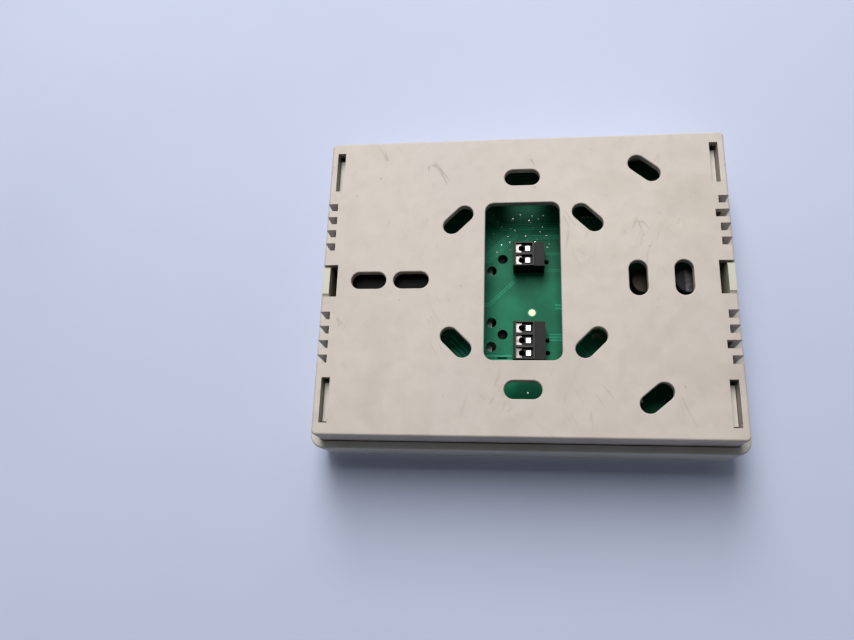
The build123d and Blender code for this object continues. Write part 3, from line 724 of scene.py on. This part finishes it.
def make_floor():
    """A wide sheet just under the thermostat's front."""
    floor_y = cad_low[1] - 0.05 * MM
    builder = bmesh.new()
    half, steps = 1.6, 8
    bmesh.ops.create_grid(builder, x_segments=steps, y_segments=steps, size=half,
                          matrix=Matrix.Rotation(math.radians(-90), 4, "X"))
    mesh = bpy.data.meshes.new("floor")
    builder.to_mesh(mesh)
    builder.free()
    floor = bpy.data.objects.new("floor", mesh)
    floor.location = (0, floor_y, 0)
    floor.data.materials.append(floor_material())
    bpy.context.scene.collection.objects.link(floor)
    return floor


def add_lamp(data, place, target, power, colour):
    """Links a lamp that stands at a place and looks at a target."""
    data.energy = power
    data.color = colour
    lamp = bpy.data.objects.new(data.name, data)
    lamp.location = place
    lamp.rotation_mode = "QUATERNION"
    lamp.rotation_quaternion = (Vector(target) - Vector(place)).to_track_quat("-Z", "Y")
    bpy.context.scene.collection.objects.link(lamp)
    return lamp


def make_window_light(place, target, height, width, power, colour):
    """A tall soft light: its shadows are wide across the thermostat and narrow along it."""
    data = bpy.data.lights.new("window_light", "AREA")
    data.shape = "RECTANGLE"
    data.size = height
    data.size_y = width
    add_lamp(data, place, target, power, colour)


def make_front_fill(floor):
    """Light from below, which the floor doesn't stop, so that the front shows in the views from there."""
    data = bpy.data.lights.new("front_fill", "SUN")
    data.angle = math.radians(12)
    lamp = add_lamp(data, (-0.35, -1.0, 0.25), (0, 0, 0), 1.8, (1.0, 0.99, 0.97))
    blockers = bpy.data.collections.new("front_fill_blockers")
    blockers.objects.link(floor)
    lamp.light_linking.blocker_collection = blockers
    blockers.collection_objects[0].light_linking.link_state = "EXCLUDE"


def make_world(colour, bright, dim):
    """A room that is bright on the window's side, towards -X, and dim on the other."""
    world = bpy.data.worlds.new("room")
    world.use_nodes = True
    nodes, links = world.node_tree.nodes, world.node_tree.links
    background = nodes["Background"]
    background.inputs["Color"].default_value = (*colour, 1)
    direction = nodes.new("ShaderNodeSeparateXYZ")
    links.new(nodes.new("ShaderNodeTexCoord").outputs["Generated"], direction.inputs["Vector"])
    side = nodes.new("ShaderNodeMapRange")
    side.inputs["From Min"].default_value = -0.6
    side.inputs["From Max"].default_value = 0.5
    side.inputs["To Min"].default_value = bright
    side.inputs["To Max"].default_value = dim
    links.new(direction.outputs["X"], side.inputs["Value"])
    links.new(side.outputs["Result"], background.inputs["Strength"])
    bpy.context.scene.world = world


def make_camera():
    """Held by hand above the thermostat, leaning towards its right-hand edge, with a slight roll."""
    place, target = Vector((0.0696, 0.1872, 0.0005)), Vector((0.0114, 0.0, 0.0252))
    roll = math.radians(2.0)
    data = bpy.data.cameras.new("camera")
    data.sensor_width = 36.0
    data.lens = 31.4
    data.clip_start = 0.005
    camera = bpy.data.objects.new("camera", data)
    ahead = (target - place).normalized()
    right = ahead.cross(Vector((-1, 0, 0))).normalized()
    up = right.cross(ahead)
    turned_right = right * math.cos(roll) + up * math.sin(roll)
    turned_up = up * math.cos(roll) - right * math.sin(roll)
    camera.matrix_world = Matrix((
        (turned_right.x, turned_up.x, -ahead.x, place.x),
        (turned_right.y, turned_up.y, -ahead.y, place.y),
        (turned_right.z, turned_up.z, -ahead.z, place.z),
        (0, 0, 0, 1),
    ))
    bpy.context.scene.collection.objects.link(camera)
    bpy.context.scene.camera = camera


floor = make_floor()
make_window_light(place=(-0.50, 0.76, 0.09), target=(0, 0, 0), height=0.85, width=0.42, power=7.6,
                  colour=(1.0, 0.985, 0.965))
make_front_fill(floor)
make_world(colour=(0.90, 0.94, 1.0), bright=0.40, dim=0.07)
make_camera()
bpy.context.scene.view_settings.view_transform = "Standard"
bpy.context.scene.view_settings.look = "Medium High Contrast"
